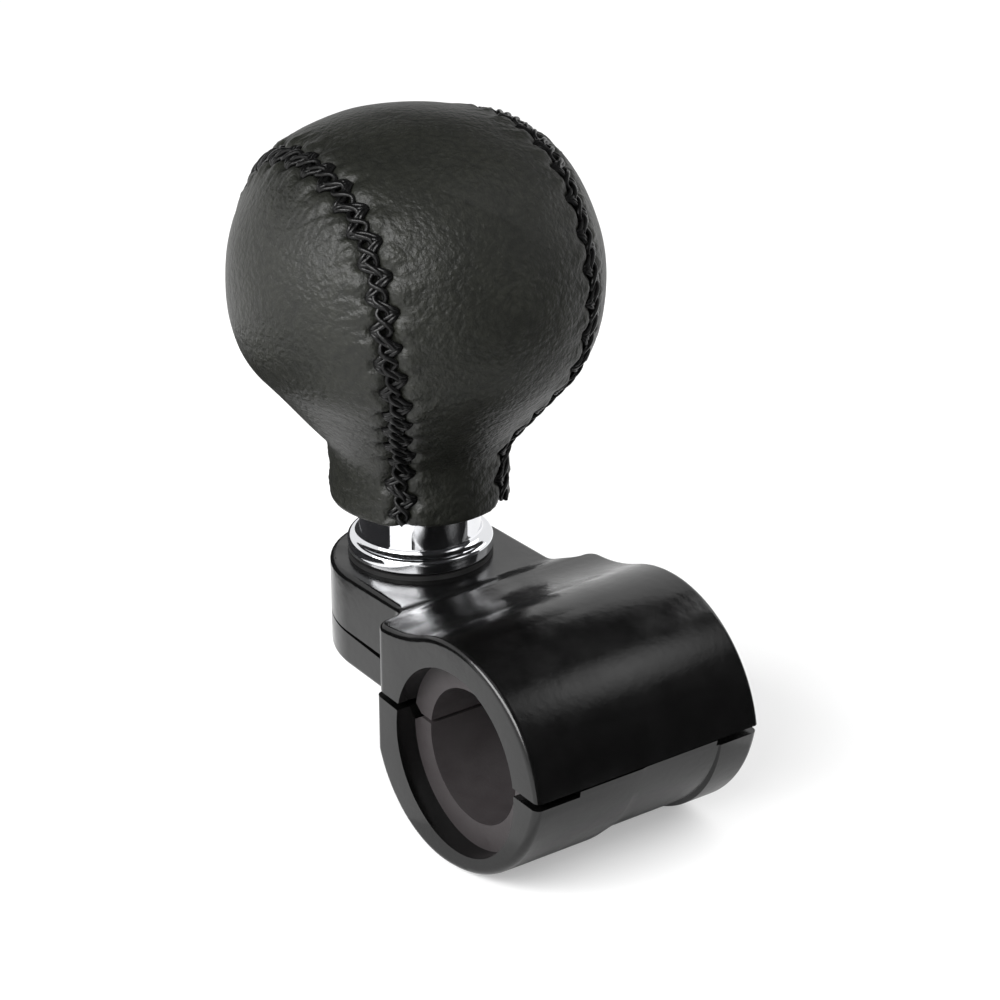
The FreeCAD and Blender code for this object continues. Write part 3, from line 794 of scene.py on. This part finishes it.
# Studio: white floor and background, with one large soft light on each side
studio = {
    "floorDrop": 0.05,  # mm under the jaw
    "floorReach": 3000.0,
    "floorWhite": 0.35,  # share of plain white laid over the floor and its shadow
    "fadeStart": 180.0,  # mm from the object, where the floor starts to turn plain white
    "fadeEnd": 700.0,
    "worldStrength": 0.42,
    "lightCentre": (-10, 0, 30),  # mm
}
lights = {  # azimuth and elevation in degrees, distance, width and height in metres, power in watts
    "keyLight": (8, 36, 0.9, 1.2, 0.36, 16.0),
    "fillLight": (152, 52, 0.9, 1.2, 1.0, 7.0),
}
lowest = min(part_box(node)[0].z for node in frame["nodes"])


# White in front of the camera, and in what metal and glass show; the object's own light stays plain
def whiteToCamera(owner, output, shaderSocket, kind, share=None):
    rays = addNode(owner, "ShaderNodeLightPath")
    seen = rays.outputs["Is Camera Ray"]
    for ray in ("Is Glossy Ray", "Is Transmission Ray"):
        either = addNode(owner, "ShaderNodeMath", {"operation": "MAXIMUM"}, {0: seen, 1: rays.outputs[ray]})
        seen = either.outputs["Value"]
    if share:
        part = addNode(owner, "ShaderNodeMath", {"operation": "MULTIPLY"}, {0: seen, 1: share})
        seen = part.outputs["Value"]
    white = addNode(owner, kind, {"Color": (1, 1, 1, 1)})
    mix = addNode(owner, "ShaderNodeMixShader", {}, {0: seen, 1: shaderSocket, 2: white.outputs[0]})
    owner.node_tree.links.new(mix.outputs[0], owner.node_tree.nodes[output].inputs["Surface"])


def whiteWorld():
    world = bpy.data.worlds.new("studioWorld")
    world.use_nodes = True
    scene.world = world
    background = world.node_tree.nodes["Background"]
    background.inputs["Color"].default_value = (1, 1, 1, 1)
    background.inputs["Strength"].default_value = studio["worldStrength"]
    whiteToCamera(world, "World Output", background.outputs[0], "ShaderNodeBackground")


def floorPlane():
    bm = bmesh.new()
    bmesh.ops.create_grid(bm, x_segments=1, y_segments=1, size=studio["floorReach"] * mm)
    bmesh.ops.translate(bm, verts=bm.verts, vec=(0, 0, lowest - studio["floorDrop"] * mm))
    floor = meshPiece("floor", bm)
    material, shader = newFinish("paleFloor", "#f4f4f4", 0.9)
    place = addNode(material, "ShaderNodeTexCoord")
    apart = addNode(material, "ShaderNodeVectorMath", {"operation": "LENGTH"}, {0: place.outputs["Object"]})
    fade = addNode(material, "ShaderNodeMapRange",
                   {"interpolation_type": "SMOOTHSTEP", "From Min": studio["fadeStart"] * mm,
                    "From Max": studio["fadeEnd"] * mm, "To Min": studio["floorWhite"]},
                   {"Value": apart.outputs["Value"]})
    whiteToCamera(material, "Material Output", shader.outputs[0], "ShaderNodeEmission",
                  fade.outputs["Result"])
    floor.data.materials.append(material)


# Dark cards round the object, seen in reflections alone: the enamel's black and the chrome's bars, and a
# grey card that paints the floor's shadow under the clamp
flags = {  # distance in mm, then azimuth from and to and elevation from and to, in degrees
    "zenithFlag": (105, -180, 180, 64, 90),
    "ceilingFlag": (105, 192, 350, 42, 64),
    "backCeilingFlag": (105, 154, 192, 40, 64),
    "windowTopFlag": (105, 104, 154, 54, 64),
    "frontCeilingFlag": (105, 50, 104, 19, 64),
    "frontFlag": (105, 48, 160, -38, 19),
    "neckFlag": (75, -130, -14, -25, 6),
}
scrim = {  # netting before the gap between the flags, clear in the middle
    "span": (104, 96, 162, 12, 60),
    "middle": (104, 128, 37),  # distance, azimuth and elevation
    "clearRadius": 8.0,  # mm
    "closedRadius": 50.0,
    "leastClosed": 0.22,
    "foldSize": 7.0,
    "unevenness": 24.0,
}
cards = {
    "centre": (-20, 0, 25),  # mm, about the middle of the object
    "columns": 48,
    "rows": 16,
    # painted shadow: a grey disc under the clamp, seen in reflections alone, for the floor's shadow there
    "shadowCardRadius": 36.0,
    "shadowCardPlace": (8, 2),
    "shadowCardDrop": 0.03,
}


def spherePoint(distance, azimuth, elevation):
    return (Vector(cards["centre"]) + outward(azimuth, elevation) * distance) * mm


def curvedCard(name, span, material):
    distance, azimuthLow, azimuthHigh, elevationLow, elevationHigh = span
    bm = bmesh.new()
    bmesh.ops.create_grid(bm, x_segments=cards["columns"], y_segments=cards["rows"], size=0.5)
    for vertex in bm.verts:
        azimuth = azimuthLow + (azimuthHigh - azimuthLow) * (vertex.co.x + 0.5)
        elevation = elevationLow + (elevationHigh - elevationLow) * (vertex.co.y + 0.5)
        vertex.co = spherePoint(distance, azimuth, elevation)
    seenInGlossOnly(meshPiece(name, bm), material)


def seenInGlossOnly(card, material):
    card.data.materials.append(material)
    card.visible_camera = False
    card.visible_diffuse = False
    card.visible_shadow = False
    card.visible_transmission = False


def scrimCloth():
    material, shader = newFinish("scrimCloth", "#202022", 0.9)
    place = addNode(material, "ShaderNodeTexCoord")
    middle = spherePoint(*scrim["middle"])
    apart = addNode(material, "ShaderNodeVectorMath", {"operation": "DISTANCE", 1: middle},
                    {0: place.outputs["Object"]})
    folds = addNode(material, "ShaderNodeTexNoise", {"Scale": 1 / (scrim["foldSize"] * mm), "Detail": 3.0},
                    {"Vector": place.outputs["Object"]})
    uneven = addNode(material, "ShaderNodeMath", {"operation": "MULTIPLY_ADD", 1: scrim["unevenness"] * mm},
                     {0: folds.outputs["Fac"], 2: apart.outputs["Value"]})
    closed = addNode(material, "ShaderNodeMapRange",
                     {"interpolation_type": "SMOOTHSTEP", "From Min": scrim["clearRadius"] * mm,
                      "From Max": scrim["closedRadius"] * mm, "To Min": scrim["leastClosed"]},
                     {"Value": uneven.outputs["Value"]})
    clear = addNode(material, "ShaderNodeBsdfTransparent")
    mix = addNode(material, "ShaderNodeMixShader", {},
                  {0: closed.outputs["Result"], 1: clear.outputs[0], 2: shader.outputs[0]})
    output = material.node_tree.nodes["Material Output"]
    material.node_tree.links.new(mix.outputs[0], output.inputs["Surface"])
    return material


def paintedShadowCard():  # painted shadow: a grey disc on the floor, seen in reflections alone, stands for the floor's shadow under the clamp, so the clamp's underside reflects a darker floor than the camera sees
    bm = bmesh.new()
    bmesh.ops.create_circle(bm, cap_ends=True, segments=64, radius=cards["shadowCardRadius"] * mm)
    x, y = cards["shadowCardPlace"]
    bmesh.ops.translate(bm, verts=bm.verts, vec=(x * mm, y * mm, lowest - cards["shadowCardDrop"] * mm))
    seenInGlossOnly(meshPiece("paintedShadowCard", bm), newFinish("paintedShadowGrey", "#c4c4c4", 0.9)[0])


def softLight(name, azimuth, elevation, distance, width, height, power):
    data = bpy.data.lights.new(name, "AREA")
    data.shape = "RECTANGLE"
    data.size, data.size_y = width, height
    data.energy = power
    lamp = bpy.data.objects.new(name, data)
    scene.collection.objects.link(lamp)
    way = outward(azimuth, elevation)
    lamp.location = Vector(studio["lightCentre"]) * mm + way * distance
    lamp.rotation_euler = way.to_track_quat("Z", "Y").to_euler()


whiteWorld()
floorPlane()
flagBlack = newFinish("flagBlack", "#202022", 0.9)[0]
for name, span in flags.items():
    curvedCard(name, span, flagBlack)
curvedCard("windowScrim", scrim["span"], scrimCloth())
paintedShadowCard()
for name, place in lights.items():
    softLight(name, *place)
scene.view_settings.view_transform = "Standard"
print("studio lit")
